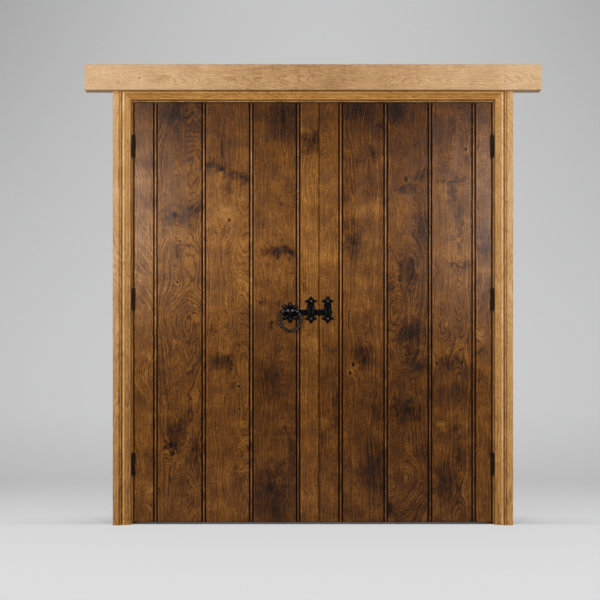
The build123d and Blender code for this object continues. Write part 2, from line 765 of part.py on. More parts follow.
dome_y = bar_front_y - COLLAR[1]
spindle_line = Axis((rose_x, 0, latch_z), (0, 1, 0))
with BuildPart() as boss:
    # neck, collar and dome, turned about the spindle
    neck = rose_x + NECK_RADIUS - NECK_FIT
    core = rose_x + SQUARE / 2 - 0.5
    collar = rose_x + COLLAR[0]
    dome = rose_x + DOME_RADIUS
    with BuildSketch(Plane.XY.offset(latch_z)):
        with BuildLine():
            Polyline(
                (rose_x, face_y - 0.3),
                (neck, face_y - 0.3),
                (neck, bar_back_y + 0.1),
                (core, bar_back_y + 0.1),
                (core, bar_front_y - 0.2),
                (collar - 1, bar_front_y - 0.2),
                (collar, bar_front_y - 1.2),
                (collar, dome_y + 1),
                (dome, dome_y),
            )
            ThreePointArc(
                (dome, dome_y),
                (rose_x + DOME_RADIUS * cos(radians(40)), dome_y - DOME_RADIUS * sin(radians(40))),
                (rose_x, dome_y - DOME_RADIUS),
            )
            Line((rose_x, dome_y - DOME_RADIUS), (rose_x, face_y - 0.3))
        make_face()
    revolve(axis=spindle_line)
    # the square that the bar's eye fits
    with BuildSketch(front(bar_back_y + 0.2)):
        with Locations((rose_x, latch_z)):
            Rectangle(SQUARE, SQUARE)
            Circle(SQUARE / 2 + 2.2, mode=Mode.INTERSECT)
    extrude(amount=BAR_THICKNESS + 1.0)
    # the ears that hold the ring's pins
    for way in (-1, 1):
        with BuildSketch(Plane.XY.offset(pivot_z)):
            with Locations((rose_x + way * EAR_SPREAD, pivot_y)):
                Circle(EAR_RADIUS)
                with Locations((0, -EAR_RADIUS)):
                    Rectangle(2 * EAR_RADIUS + 2, 2 * EAR_RADIUS, mode=Mode.SUBTRACT)
        revolve(axis=Axis((rose_x, pivot_y, pivot_z), (1, 0, 0)))
    with Locations(facing(rose_x, pivot_y, pivot_z, TO_RIGHT)):
        Cylinder(RING_PIN_RADIUS + PIN_FIT, 4 * EAR_SPREAD, mode=Mode.SUBTRACT)
    with BuildSketch(front(face_y)):
        with Locations((rose_x, latch_z)):
            Rectangle(SPINDLE + 0.2, SPINDLE + 0.2)
    extrude(amount=face_y - dome_y, mode=Mode.SUBTRACT)
save(boss.part, "latch_boss")

with BuildPart() as latch_bar:
    with BuildSketch(front(bar_back_y)):
        with Locations((rose_x, latch_z)):
            Circle(SQUARE)
        with Locations((rose_x + BAR_REACH / 2 - BAR_HEIGHT / 4, latch_z)):
            Rectangle(BAR_REACH - BAR_HEIGHT / 2, BAR_HEIGHT)
        with Locations((rose_x + BAR_REACH - BAR_HEIGHT / 2, latch_z)):
            Circle(BAR_HEIGHT / 2)
        with Locations((rose_x, latch_z)):
            Rectangle(SQUARE + 0.2, SQUARE + 0.2, mode=Mode.SUBTRACT)
    extrude(amount=BAR_THICKNESS)
save(latch_bar.part, "latch_bar")

with BuildPart() as ring_handle:
    bend_z = pivot_z - RING_BEND
    centre_z = bend_z - (RING_RADIUS - RING_BEND) * cos(radians(RING_SHOULDER))
    bend_x = (RING_RADIUS - RING_BEND) * sin(radians(RING_SHOULDER))
    pin_x = EAR_SPREAD + EAR_RADIUS + 0.2

    def on_bend(sign, angle):
        """A point of the small bend beside the boss."""
        a = radians(angle)
        return (rose_x + sign * (bend_x + RING_BEND * sin(a)), bend_z + RING_BEND * cos(a))

    with BuildLine(front(pivot_y)) as ring_line:
        Line((rose_x - pin_x, pivot_z), on_bend(-1, 0))
        ThreePointArc(on_bend(-1, 0), on_bend(-1, RING_SHOULDER / 2), on_bend(-1, RING_SHOULDER))
        ThreePointArc(
            on_bend(-1, RING_SHOULDER),
            (rose_x, centre_z - RING_RADIUS),
            on_bend(1, RING_SHOULDER),
        )
        ThreePointArc(on_bend(1, RING_SHOULDER), on_bend(1, RING_SHOULDER / 2), on_bend(1, 0))
        Line(on_bend(1, 0), (rose_x + pin_x, pivot_z))
    with BuildSketch(Plane(origin=(rose_x - pin_x, pivot_y, pivot_z), z_dir=TO_LEFT)):
        Circle(RING_BAR_RADIUS)
    sweep()
    for way in (TO_LEFT, TO_RIGHT):
        with BuildSketch(Plane(origin=(rose_x + way[0] * 6.0, pivot_y, pivot_z), z_dir=way)):
            Circle(RING_PIN_RADIUS)
        extrude(amount=pin_x - 6.0 + 1.0)
save(ring_handle.part, "ring_handle")

with BuildPart() as inner_rose:
    with BuildSketch(front(inner_rose_back)):
        with Locations((rose_x, latch_z)):
            Circle(INNER_ROSE[0])
            Circle(NECK_RADIUS, mode=Mode.SUBTRACT)
    extrude(amount=INNER_ROSE[1])
    chamfer(inner_rose.edges().group_by(Axis.Y)[-1].sort_by(SortBy.LENGTH)[-1], 0.6)
    with Locations(*inner_places):
        add(screw_hole, mode=Mode.SUBTRACT)
save(inner_rose.part, "inner_rose")

with BuildPart() as inner_lever:
    hub, thick, reach, end = LEVER
    with BuildSketch(front(inner_rose_back + 0.2)):
        with Locations((rose_x, latch_z)):
            Circle(NECK_RADIUS - NECK_FIT)
    extrude(amount=INNER_ROSE[1])
    # hub, tapering arm that hangs down, and a rounded end
    with BuildSketch(front(inner_rose_back + 0.2 + thick)):
        with Locations((rose_x, latch_z)):
            Circle(hub)
        with Locations((rose_x, latch_z - reach)):
            Circle(end)
        with BuildLine():
            Polyline(
                (rose_x - 0.6 * hub, latch_z),
                (rose_x + 0.6 * hub, latch_z),
                (rose_x + 0.5 * end, latch_z - reach),
                (rose_x - 0.5 * end, latch_z - reach),
                close=True,
            )
        make_face()
    extrude(amount=thick)
    with BuildSketch(front(inner_rose_back)):
        with Locations((rose_x, latch_z)):
            Rectangle(SPINDLE, SPINDLE)
    extrude(amount=inner_rose_back - dome_y - 0.5)
save(inner_lever.part, "inner_lever")


# ---------------------------------------------------------------- latch: guide and keeper
# one four-pointed finial, with hollow sides and blunted points
tip, waist = FINIAL_TIP, FINIAL_WAIST
with BuildSketch() as finial:
    with BuildLine():
        ThreePointArc((tip, FINIAL_UP), (waist, waist), (FINIAL_SIDE, tip))
        Line((FINIAL_SIDE, tip), (FINIAL_SIDE, -tip))
        ThreePointArc((FINIAL_SIDE, -tip), (waist, -waist), (tip, -FINIAL_UP))
        Line((tip, -FINIAL_UP), (-tip, -FINIAL_UP))
        ThreePointArc((-tip, -FINIAL_UP), (-waist, -waist), (-FINIAL_SIDE, -tip))
        Line((-FINIAL_SIDE, -tip), (-FINIAL_SIDE, tip))
        ThreePointArc((-FINIAL_SIDE, tip), (-waist, waist), (-tip, FINIAL_UP))
        Line((-tip, FINIAL_UP), (tip, FINIAL_UP))
    make_face()

slot_under = bar_under - BAR_SEAT
slot_back = bar_back_y + SLOT_PLAY
slot_front = bar_front_y - SLOT_PLAY
bridge_front = slot_front - BRIDGE_WALL
bridge_under = slot_under - BRIDGE_WALL
lift = radians(LIFT_ANGLE)
guide_reach = guide_x - rose_x + STRAP_WIDTH / 2
slot_top = latch_z + BAR_HEIGHT / 2 / cos(lift) + guide_reach * tan(lift) + SLOT_PLAY
bridge_top = slot_top + BRIDGE_WALL


lip_top = bar_under + LIP_HEIGHT

# the low dome in the middle of a finial, flat on top where its screw sits
base_radius, top_radius, dome_height = FINIAL_DOME
shoulder = ((base_radius - top_radius) ** 2 + dome_height**2) / (2 * dome_height)
half_turn = asin((base_radius - top_radius) / shoulder) / 2
with BuildPart() as finial_dome:
    with BuildSketch(Plane.XZ):
        with BuildLine():
            Polyline((base_radius, 0), (0, 0), (0, dome_height), (top_radius, dome_height))
            ThreePointArc(
                (top_radius, dome_height),
                (top_radius + shoulder * sin(half_turn), dome_height - shoulder * (1 - cos(half_turn))),
                (base_radius, 0),
            )
        make_face()
    revolve(axis=Axis.Z)

for name, x, places in (("bar_guide", guide_x, guide_places), ("bar_keeper", keeper_x, keeper_places)):
    with BuildPart() as strap:
        # the raised part that holds the bar
        with BuildSketch(front(face_y - STRAP_THICKNESS)):
            with Locations((x, (bridge_under + bridge_top) / 2)):
                RectangleRounded(STRAP_WIDTH, bridge_top - bridge_under, BRIDGE_WALL)
        extrude(amount=face_y - STRAP_THICKNESS - bridge_front)
        fillet(strap.edges().group_by(Axis.Y)[0], BRIDGE_ROUNDING)
        # the plate, a rounded body between two finials
        with BuildSketch(front(face_y)):
            with Locations((x, strap_z)):
                RectangleRounded(STRAP_WIDTH, STRAP_BODY, STRAP_CORNER)
            with Locations(*[(x, z) for z in finial_heights]):
                add(finial.sketch)
        extrude(amount=STRAP_THICKNESS)
        with Locations(*[facing(x, face_y - STRAP_THICKNESS, z, TO_ROOM) for z in finial_heights]):
            add(finial_dome.part)
        # the slot: closed at the top in the guide, open behind a low lip in the keeper
        top = slot_top if name == "bar_guide" else bridge_top + 1
        with Locations((x, (slot_back + slot_front) / 2, (slot_under + top) / 2)):
            Box(2 * STRAP_WIDTH, slot_back - slot_front, top - slot_under, mode=Mode.SUBTRACT)
        if name == "bar_keeper":
            with Locations((x, slot_front - BRIDGE_WALL, (lip_top + top) / 2)):
                Box(2 * STRAP_WIDTH, 2 * BRIDGE_WALL + 1, top - lip_top, mode=Mode.SUBTRACT)
        with Locations(*places):
            add(screw_hole, mode=Mode.SUBTRACT)
    save(strap.part, name)
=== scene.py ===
# %% [markdown]
# # A pair of oak plank doors
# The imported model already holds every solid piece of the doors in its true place, in metres, with X along the
# wall, Y into the wall and Z up. It is loaded first and left where it is. What follows gives each piece its real
# finish, makes the one piece that a CAD sweep can't show well, and sets up the studio around it.

# %% Load the frame
import math

import bmesh
import bpy
from mathutils import Matrix, Vector


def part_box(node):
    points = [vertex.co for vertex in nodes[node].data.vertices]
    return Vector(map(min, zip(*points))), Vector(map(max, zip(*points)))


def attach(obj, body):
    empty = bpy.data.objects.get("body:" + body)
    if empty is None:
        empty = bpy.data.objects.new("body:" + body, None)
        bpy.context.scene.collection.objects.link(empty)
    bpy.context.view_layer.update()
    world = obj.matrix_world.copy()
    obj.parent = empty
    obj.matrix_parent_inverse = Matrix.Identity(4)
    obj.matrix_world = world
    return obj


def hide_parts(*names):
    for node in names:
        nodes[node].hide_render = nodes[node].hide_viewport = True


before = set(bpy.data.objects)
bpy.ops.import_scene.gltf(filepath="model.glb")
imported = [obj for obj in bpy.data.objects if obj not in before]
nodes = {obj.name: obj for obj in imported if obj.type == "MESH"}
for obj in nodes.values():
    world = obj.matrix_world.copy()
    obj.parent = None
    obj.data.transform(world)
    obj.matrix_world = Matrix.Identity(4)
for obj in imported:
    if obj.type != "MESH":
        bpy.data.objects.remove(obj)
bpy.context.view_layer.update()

scene = bpy.context.scene
MM = 0.001


# %% [markdown]
# ## Two helpers
# A finish is picked as an ordinary hex colour, but Blender mixes light in linear values, so one function turns
# the one into the other. Materials are chains of nodes, and a second function adds a node, sets it and joins it
# to what came before, which keeps each chain readable from top to bottom.

# %% Colour and node helpers
def tone(code):
    """A hex colour in linear light, with full opacity."""
    channels = [int(code[i:i + 2], 16) / 255 for i in (1, 3, 5)]
    linear = [c / 12.92 if c <= 0.04045 else ((c + 0.055) / 1.055) ** 2.4 for c in channels]
    return (*linear, 1.0)


def add(tree, kind, sockets=(), stops=(), **settings):
    """Adds a node. A socket takes a number, a colour, or the output of another node."""
    made = tree.nodes.new(kind if kind.startswith("Node") else "ShaderNode" + kind)
    for key, value in settings.items():
        setattr(made, key, value)
    for key, value in sockets.items() if isinstance(sockets, dict) else enumerate(sockets):
        if isinstance(value, bpy.types.Node):
            value = value.outputs[0]
        if isinstance(value, bpy.types.NodeSocket):
            tree.links.new(value, made.inputs[key])
        else:
            made.inputs[key].default_value = value
    for position, code in stops[1:-1]:
        made.color_ramp.elements.new(position)
    if stops:
        for element, (position, code) in zip(made.color_ramp.elements, stops):
            element.position, element.color = position, tone(code)
    return made


def blank(name, roughness, shine=0.5):
    """A new material, with its node tree and its shader. Shine is how much it reflects, and 0.5 is a plain polish."""
    material = bpy.data.materials.new(name)
    material.use_nodes = True
    shader = material.node_tree.nodes["Principled BSDF"]
    shader.inputs["Roughness"].default_value = roughness
    shader.inputs["Specular IOR Level"].default_value = shine
    return material, material.node_tree, shader


print("white in linear light:", tone("#FFFFFF"))


# %% [markdown]
# ## How oak is drawn
# Oak is a solid thing: its growth rings are long cones round the heart of the tree, and a board's face shows
# where it cuts them. So the pattern is worked out in the wood, as the distance to a heart line that wanders
# in front of and behind the board. Where the line comes near the face the rings open into arches, and beside it
# they close up to straight grain, and the edges and ends of the board match the face without any painting.
# Soft oval spots push the rings aside round a knot, and darken or lighten the stain where it took unevenly.

# %% Soft spots
def soft_spots(tree, where, total, spots):
    """Adds oval spots to a value. Each has its middle, its two radii in mm, and how much it adds there."""
    for across, along, wide, tall, strength in spots:
        ball = add(
            tree, "VectorMath",
            [where, (1 / wide, 0, 1 / tall), (-across / wide, 0, -along / tall)],
            operation="MULTIPLY_ADD",
        )
        fade = add(tree, "TexGradient", [ball], gradient_type="SPHERICAL")
        total = add(tree, "Math", [fade.outputs[1], strength, total], operation="MULTIPLY_ADD")
    return total


# %% [markdown]
# ## Where the grain runs
# A tree leans, bends and heals, so its grain is never straight. One slow noise carries the whole pattern some
# millimetres aside as it goes up the board. A quicker one does the same for stains only, whose edges are ragged
# because some fibres drink more than others. Both could be painted on every board by hand, but a noise with the
# board's own seed draws them all, and no two boards come out alike.

# %% The grain's course
WANDER = (100, 90, 300)  # mm, over which the grain drifts, across, into and along the board
WANDER_BY = (15, 15, 0)  # mm, and how far it is carried
RAGGED = (34, 34, 30)  # mm, the same two for the edge of a stain
RAGGED_BY = (20, 0, 26)


def per(*sizes):
    """What a place in mm is multiplied by, for a pattern that changes over these sizes."""
    return tuple(1 / size for size in sizes)


def grain_course(tree, grain, seed):
    """A place in mm across, into and along the board: as it is, on the drifting grain, and in a ragged stain."""
    axes = add(tree, "SeparateXYZ", [add(tree, "TexCoord").outputs["Object"]])
    across, along = ("X", "Z") if grain == "Z" else ("Z", "X")
    metres = add(tree, "CombineXYZ", [axes.outputs[across], axes.outputs["Y"], axes.outputs[along]])
    board = add(tree, "VectorMath", [metres, (1000, 1000, 1000)], operation="MULTIPLY")
    slow = add(tree, "VectorMath", [board, per(*WANDER), (seed * 7.3, seed * 3.1, seed * 5.7)],
               operation="MULTIPLY_ADD")
    drift = add(tree, "TexNoise", {"Vector": slow, "Scale": 1.0, "Detail": 3.0}, normalize=False)
    flow = add(tree, "VectorMath", [drift.outputs[1], WANDER_BY, board], operation="MULTIPLY_ADD")
    quick = add(tree, "VectorMath", [board, per(*RAGGED), (seed, seed, seed)], operation="MULTIPLY_ADD")
    ragged = add(tree, "TexNoise", {"Vector": quick, "Scale": 1.0, "Detail": 4.0}, normalize=False)
    cloud = add(tree, "VectorMath", [ragged.outputs[1], RAGGED_BY, flow], operation="MULTIPLY_ADD")
    return board, flow, cloud


# %% [markdown]
# ## Growth rings
# Each year a tree adds a ring: open wood in spring, which drinks stain and goes dark, then dense wood in summer.
# Blender has a ready-made ring pattern, but it can't be bent round knots. So the distance to the heart is worked
# out first, bent as the tree was, and its fraction of a year's growth says how far into the year the wood is.

# %% The rings
BOW = 640  # mm, along the board, over which the heart line bends
RING = 5.4  # mm, one year's growth
YEARS = 45  # mm, over which rings grow wider and narrower
BAND = 8  # mm, over which groups of rings are darker and paler
FEATHER = 1.1  # mm, how far fibres fray the edge of a ring
SPRING = 0.42  # the share of a year in which the wood grows open
FIBRE = (3.2, 3.2, 110)  # mm, a bundle of fibres


def heart_distance(tree, flow, heart, swing, seed, knots, eyes):
    """The distance in mm to the heart line, which swings in and out, pushed aside round knots and eyes."""
    course = add(tree, "SeparateXYZ", [flow])
    far = add(tree, "Math", [course.outputs["Z"], 1 / BOW, seed * 11.0], operation="MULTIPLY_ADD")
    bend = add(tree, "TexNoise", {"W": far, "Scale": 1.0, "Detail": 1.5}, noise_dimensions="1D", normalize=False)
    behind = add(tree, "Math", [course.outputs["Y"], heart[1]])
    level = add(tree, "Math", [bend, swing, behind], operation="MULTIPLY_ADD")
    aside = add(tree, "Math", [course.outputs["X"], heart[0]], operation="SUBTRACT")
    straight = add(tree, "VectorMath", [add(tree, "CombineXYZ", [aside, level, 0.0])], operation="LENGTH")
    pushes = [(u, w, 4.5 * size, 9 * size, 2.0 * size) for u, w, size in knots]
    return soft_spots(tree, flow, straight.outputs["Value"], list(eyes) + pushes)


def year_rings(tree, flow, radius, seed):
    """The open wood of each spring, the bands of rings and the streaks of fibre, each as a value."""
    fine = add(tree, "VectorMath", [flow, per(*FIBRE)], operation="MULTIPLY")
    streak = add(tree, "TexNoise", {"Vector": fine, "Scale": 1.0, "Detail": 4.0, "Roughness": 0.62}, normalize=False)
    radius = add(tree, "Math", [streak, FEATHER, radius], operation="MULTIPLY_ADD")
    slowly = add(tree, "Math", [radius, 1 / YEARS, seed], operation="MULTIPLY_ADD")
    uneven = add(tree, "TexNoise", {"W": slowly, "Scale": 1.0, "Detail": 1.0}, noise_dimensions="1D",
                 normalize=False)
    count = add(tree, "Math", [radius, 1 / RING, uneven], operation="MULTIPLY_ADD")
    spring = add(tree, "MapRange", [add(tree, "Math", [count], operation="FRACT"), 0.0, SPRING, 1.0, 0.0],
                 interpolation_type="SMOOTHSTEP")
    quickly = add(tree, "Math", [radius, 1 / BAND, seed * 3.0], operation="MULTIPLY_ADD")
    group = add(tree, "TexNoise", {"W": quickly, "Scale": 1.0, "Detail": 3.0}, noise_dimensions="1D",
                normalize=False)
    return spring, group, streak


print("rings across a 200 mm board:", round(200 / RING))


# %% [markdown]
# ## Pores, rays and patches
# What makes oak look like oak is finer than its rings. Its spring wood is full of long open pores, which show as
# dark dashes, and rays run out from the heart, which show as short level slivers, or as bright bands where the
# board was sawn towards the heart. Over all of that the stain took in patches. Each is a noise stretched to the
# shape of the real thing, because there are far too many to place one by one.

# %% Fine figure
PORE = (1.3, 1.3, 24)  # mm, a little wider than real pores, which are too fine to show
SLIVER = (16, 16, 4)  # mm, a ray that meets the face end on
PATCH = (110, 110, 95)  # mm, a part of the board that drank more stain, or less
RAY = (95, 40, 15)  # mm, a bright band where the board was sawn towards the heart
RAY_FALL = 130  # mm, the band falls by this much when it has gone this far


def fine_figure(tree, board, flow, spring, seed):
    """Pores, most of them in spring wood, slivers and patches, each as a value."""
    thin = add(tree, "VectorMath", [flow, per(*PORE)], operation="MULTIPLY")
    speck = add(tree, "TexNoise", {"Vector": thin, "Scale": 1.0, "Detail": 1.0})
    hole = add(tree, "MapRange", [speck, 0.56, 0.72, 0.0, 1.0])
    pores = add(tree, "Math", [hole, add(tree, "MapRange", [spring, 0.0, 1.0, 0.25, 1.0])], operation="MULTIPLY")
    crossing = add(tree, "VectorMath", [flow, per(*SLIVER)], operation="MULTIPLY")
    sliver = add(tree, "TexNoise", {"Vector": crossing, "Scale": 1.0, "Detail": 2.0}, normalize=False)
    patchy = add(tree, "VectorMath", [board, per(*PATCH), (seed * 2.0, 0, seed)], operation="MULTIPLY_ADD")
    mottle = add(tree, "TexNoise", {"Vector": patchy, "Scale": 1.0, "Detail": 5.0, "Roughness": 0.6},
                 normalize=False)
    return pores, sliver, mottle


def bright_rays(tree, flow, cloud, flecks):
    """Medullary rays in some places of a board, as bands that start level at its left and fall to the right."""
    lean = add(tree, "SeparateXYZ", [flow])
    start = flecks[0][0] - flecks[0][2]
    out = add(tree, "Math", [lean.outputs["X"], start], operation="SUBTRACT")
    curve = add(tree, "Math", [out, out], operation="MULTIPLY")
    fall = add(tree, "Math", [curve, 1 / RAY_FALL, lean.outputs["Z"]], operation="MULTIPLY_ADD")
    bent = add(tree, "CombineXYZ", [out, lean.outputs["Y"], fall])
    band = add(tree, "VectorMath", [bent, per(*RAY)], operation="MULTIPLY")
    ripple = add(tree, "TexNoise", {"Vector": band, "Scale": 1.0, "Detail": 1.0}, normalize=False)
    bright = add(tree, "MapRange", [ripple, 0.12, 0.42, 0.0, 1.0])
    where = soft_spots(tree, cloud, 0.0, [(*spot, 1.0) for spot in flecks])
    return add(tree, "Math", [bright, where], operation="MULTIPLY")


# %% [markdown]
# ## The oak material
# All of these only say how dark the wood is in one place, so they are added up into one value, and a strip of
# colours, from the palest wood to the darkest, turns that into the colour. They could be mixed as colours one
# over another, but added up they can't leave the colours of real oak. Wax fills the wood and leaves it smooth,
# duller at the pores, which are also a little sunken.

# %% Oak
PORE_DEPTH = 0.0003  # m


def oak(name, grain, heart, palette, depth, seed, swing=75.0, mottling=0.13, figure=1.0,
        knots=(), eyes=(), stains=(), lines=(), flecks=(), polish=0.26, shine=0.17):
    """Oak with its grain along X or Z. The heart line is given in mm across the board and behind its face."""
    material, tree, shader = blank(name, polish, shine)
    board, flow, cloud = grain_course(tree, grain, seed)
    radius = heart_distance(tree, flow, heart, swing, seed, knots, eyes)
    spring, group, streak = year_rings(tree, flow, radius, seed)
    pores, sliver, mottle = fine_figure(tree, board, flow, spring, seed)

    # how dark each of them makes the wood
    total = depth + 0.04 - 0.1 * figure
    for part, share in ((mottle, mottling), (group, 0.08 * figure), (spring, 0.21 * figure), (streak, 0.12),
                        (pores, 0.2), (sliver, 0.09)):
        total = add(tree, "Math", [part, share, total], operation="MULTIPLY_ADD")
    if stains:  # a stain soaks deeper where the fibres are dark already
        fibre = add(tree, "Math", [streak, group], operation="ADD")
        soak = add(tree, "MapRange", [fibre, -0.6, 0.6, 0.6, 1.1])
        pool = soft_spots(tree, cloud, 0.0, stains)
        total = add(tree, "Math", [pool, soak, total], operation="MULTIPLY_ADD")
    for u, w, size in knots:  # a pale rim, a dark knot and its cracked middle
        total = soft_spots(tree, flow, total, [
            (u, w, 3.2 * size, 4.5 * size, -0.12), (u, w, 1.2 * size, 1.6 * size, 0.85),
            (u, w, 0.5 * size, 0.6 * size, -0.25)])
    total = soft_spots(tree, board, total, lines)
    if flecks:
        total = add(tree, "Math", [bright_rays(tree, flow, cloud, flecks), -0.15, total], operation="MULTIPLY_ADD")

    stain = add(tree, "ValToRGB", [total], stops=palette)
    tree.links.new(stain.outputs["Color"], shader.inputs["Base Color"])
    dull = add(tree, "Math", [pores, 0.16, polish], operation="MULTIPLY_ADD")
    gloss = add(tree, "Math", [mottle, 0.05, dull], operation="MULTIPLY_ADD")
    tree.links.new(gloss.outputs[0], shader.inputs["Roughness"])
    sunken = add(tree, "Math", [pores, 0.8], operation="MULTIPLY")
    relief = add(tree, "Math", [spring, 0.3, sunken], operation="MULTIPLY_ADD")
    grooves = add(tree, "Bump", {"Strength": 0.5, "Distance": PORE_DEPTH, "Height": relief}, invert=True)
    tree.links.new(grooves.outputs[0], shader.inputs["Normal"])
    return material


def dress(material, *names):
    """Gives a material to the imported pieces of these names."""
    for name in names:
        nodes[name].data.materials.clear()
        nodes[name].data.materials.append(material)
    print(material.name, "on", names[0] if len(names) == 1 else f"{len(names)} pieces")


# %% [markdown]
# ## The boards
# Each board was sawn from its own log and took the dark stain in its own way, so each gets its own material from
# the same function: where its heart line lies, how deep its stain is, and where its knots, swirls and blotches
# are, in mm across the door and up from the floor. A knot is given by its place and its size. An eye, where the
# rings open into an oval, is its place, its two radii and how far it pushes the rings aside. A stain is its place,
# its two radii and how much darker it is. Painted textures would be quicker to match but would stop at the
# board's edges. The quirk beside each bead gets a line of painted shade, and the crest of the bead a line of
# painted highlight, and both run the length of the board.

# %% Board tones
STAINED = (
    (0.0, "#CE9C5E"), (0.2, "#A87334"), (0.4, "#7E4F1E"), (0.6, "#573211"), (0.8, "#371E0C"), (1.0, "#1C1008"),
)
TONGUE = 8.0  # mm, hidden in the next board
WHOLE = 1e6  # mm, so wide that a mark covers the board from edge to edge
ENDLESS = 1e7  # mm, so long that a mark keeps its strength from end to end


def full_length(across, wide, strength, middle=1000):
    """A mark that runs the whole length of a piece."""
    return across, middle, wide, ENDLESS, strength


def bead_lines(name):
    """The painted shade in the quirk, the painted highlight on the crest of the bead, the dark joint, and the next
    board's dark edge.
    """
    low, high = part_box(name)
    start, cover = low[0] / MM, high[0] / MM - TONGUE
    marks = []
    if not name.endswith("_1"):
        marks += [full_length(start, 5.5, 0.75), full_length(start + 9, 4.0, -0.06)]
    if not name.endswith("_5"):
        marks += [
            # painted shade in the quirk beside the bead
            full_length(cover - 15.0, 6.0, 0.55),
            # painted highlight along the crest of the bead
            full_length(cover - 7.5, 5.0, -0.2),
            full_length(cover, 5.0, 0.75),
            (cover - 9.0, 200, 12.0, 900, 0.08),  # painted shade, so the bead's painted highlight is weaker low down
        ]
    return marks


def stained_board(name, **looks):
    """One board of the leaves, in its own stained oak."""
    low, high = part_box(name)
    middle = (low[0] + high[0]) / 2 / MM
    looks["heart"] = (middle + looks.pop("heart_aside", 0), looks.pop("heart_behind", -20))
    painted_light_and_paler_stain = (middle, 1330, WHOLE, 640, -0.16)  # lighter round the middle, partly painted light where the lamps fall most and partly paler stain
    painted_shade_top = (middle, high[2] / MM, WHOLE, 330, 0.1)  # and painted shade at the top, darker where less lamp light reaches
    # painted shade along the foot of each board, where the gap under the leaf is dark
    foot = (middle, low[2] / MM, WHOLE, 7, 0.2)
    lines = [*bead_lines(name), painted_light_and_paler_stain, painted_shade_top, foot]
    dress(oak(name + "_stained_oak", "Z", palette=STAINED, lines=lines, **looks), name)


# %% Left leaf's boards
stained_board(
    "left_board_1", depth=0.51, seed=1.3, heart_aside=-120, heart_behind=60,
    eyes=[(-795, 120, 40, 130, 42)],
    stains=[(-800, 1222, 60, 34, 0.25), (-800, 1365, 90, 130, 0.07), (-795, 60, 90, 90, 0.1)],
    flecks=[(-800, 1240, 90, 480), (-800, 1130, 90, 260), (-800, 700, 80, 220)],
)
stained_board(
    "left_board_2", depth=0.61, figure=1.5, seed=2.1, heart_aside=30, heart_behind=-130, swing=45,
    knots=[(-655, 1462, 11), (-668, 375, 11), (-661, 332, 8), (-630, 1338, 5), (-635, 1267, 5), (-637, 1142, 5)],
    eyes=[(-640, 1560, 46, 420, 145), (-660, 1470, 60, 120, 60), (-640, 590, 44, 300, 118), (-631, 40, 42, 360, 125)],
    stains=[(-640, 1935, 85, 90, 0.34), (-650, 1455, 85, 62, 0.42), (-560, 1490, 70, 40, 0.42),
            (-630, 1285, 20, 70, 0.3), (-645, 448, 80, 60, 0.3), (-660, 365, 44, 56, 0.42), (-555, 350, 50, 90, 0.3)],
)
stained_board(
    "left_board_3", depth=0.55, seed=3.7, heart_aside=70, heart_behind=30,
    knots=[(-424, 1678, 10), (-394, 1437, 8), (-356, 653, 5), (-347, 545, 5)],
    eyes=[(-400, 960, 50, 62, 32), (-384, 1390, 50, 120, 35)],
    stains=[(-485, 1700, 55, 30, 0.4), (-430, 1685, 60, 28, 0.4), (-375, 1655, 55, 26, 0.42),
            (-325, 1632, 40, 20, 0.45), (-432, 1780, 14, 120, 0.28), (-400, 1590, 40, 90, 0.24),
            (-405, 1490, 110, 110, -0.15), (-480, 920, 44, 36, 0.25), (-440, 770, 80, 48, 0.36),
            (-392, 770, 22, 70, 0.25), (-365, 780, 9, 190, 0.25), (-295, 370, 30, 32, 0.4), (-370, 265, 24, 32, 0.25)],
)
stained_board(
    "left_board_4", depth=0.62, seed=4.9, heart_aside=30, heart_behind=10,
    knots=[(-101, 1286, 7), (-200, 953, 6)],
    eyes=[(-180, 1288, 95, 46, 42), (-93, 1645, 36, 170, 55), (-165, 200, 60, 120, 35)],
    stains=[(-140, 1915, 90, 120, 0.28), (-165, 1290, 95, 34, 0.42), (-105, 1290, 34, 38, 0.4),
            (-245, 1050, 40, 34, 0.3), (-200, 940, 22, 34, 0.3),
            (-225, 680, 85, 140, 0.28), (-130, 435, 60, 16, 0.3), (-95, 325, 24, 130, 0.25),
            (-185, 150, 120, 165, 0.38), (-165, 198, 30, 30, -0.3)],
)
stained_board(
    "left_board_5", depth=0.51, seed=5.2, heart_aside=-90, heart_behind=40,
    stains=[(-8, 1812, 74, 64, 0.62), (-40, 1115, 18, 60, 0.25)],
)

# %% Right leaf's boards
stained_board(
    "right_board_1", depth=0.57, figure=1.1, seed=6.4, heart_aside=-210, heart_behind=-90, swing=40,
    eyes=[(57, 1640, 46, 560, 190)],
    stains=[(75, 825, 60, 12, 0.2), (105, 565, 24, 200, 0.22), (70, 450, 1e3, 520, 0.07)],
)
stained_board(
    "right_board_2", depth=0.63, figure=1.2, seed=7.7, heart_aside=-190, heart_behind=-90, swing=45,
    knots=[(195, 755, 9), (180, 715, 7)],
    eyes=[(252, 1425, 46, 400, 165), (235, 1000, 36, 170, 60)],
    stains=[(230, 1965, 150, 120, 0.28), (319, 1881, 26, 28, 0.3), (285, 1740, 34, 40, 0.25),
            (235, 1560, 1e3, 420, 0.07), (195, 1340, 60, 130, 0.38), (245, 1490, 120, 66, -0.18),
            (238, 795, 55, 90, 0.38), (300, 540, 34, 120, 0.25), (280, 270, 90, 170, 0.42)],
)
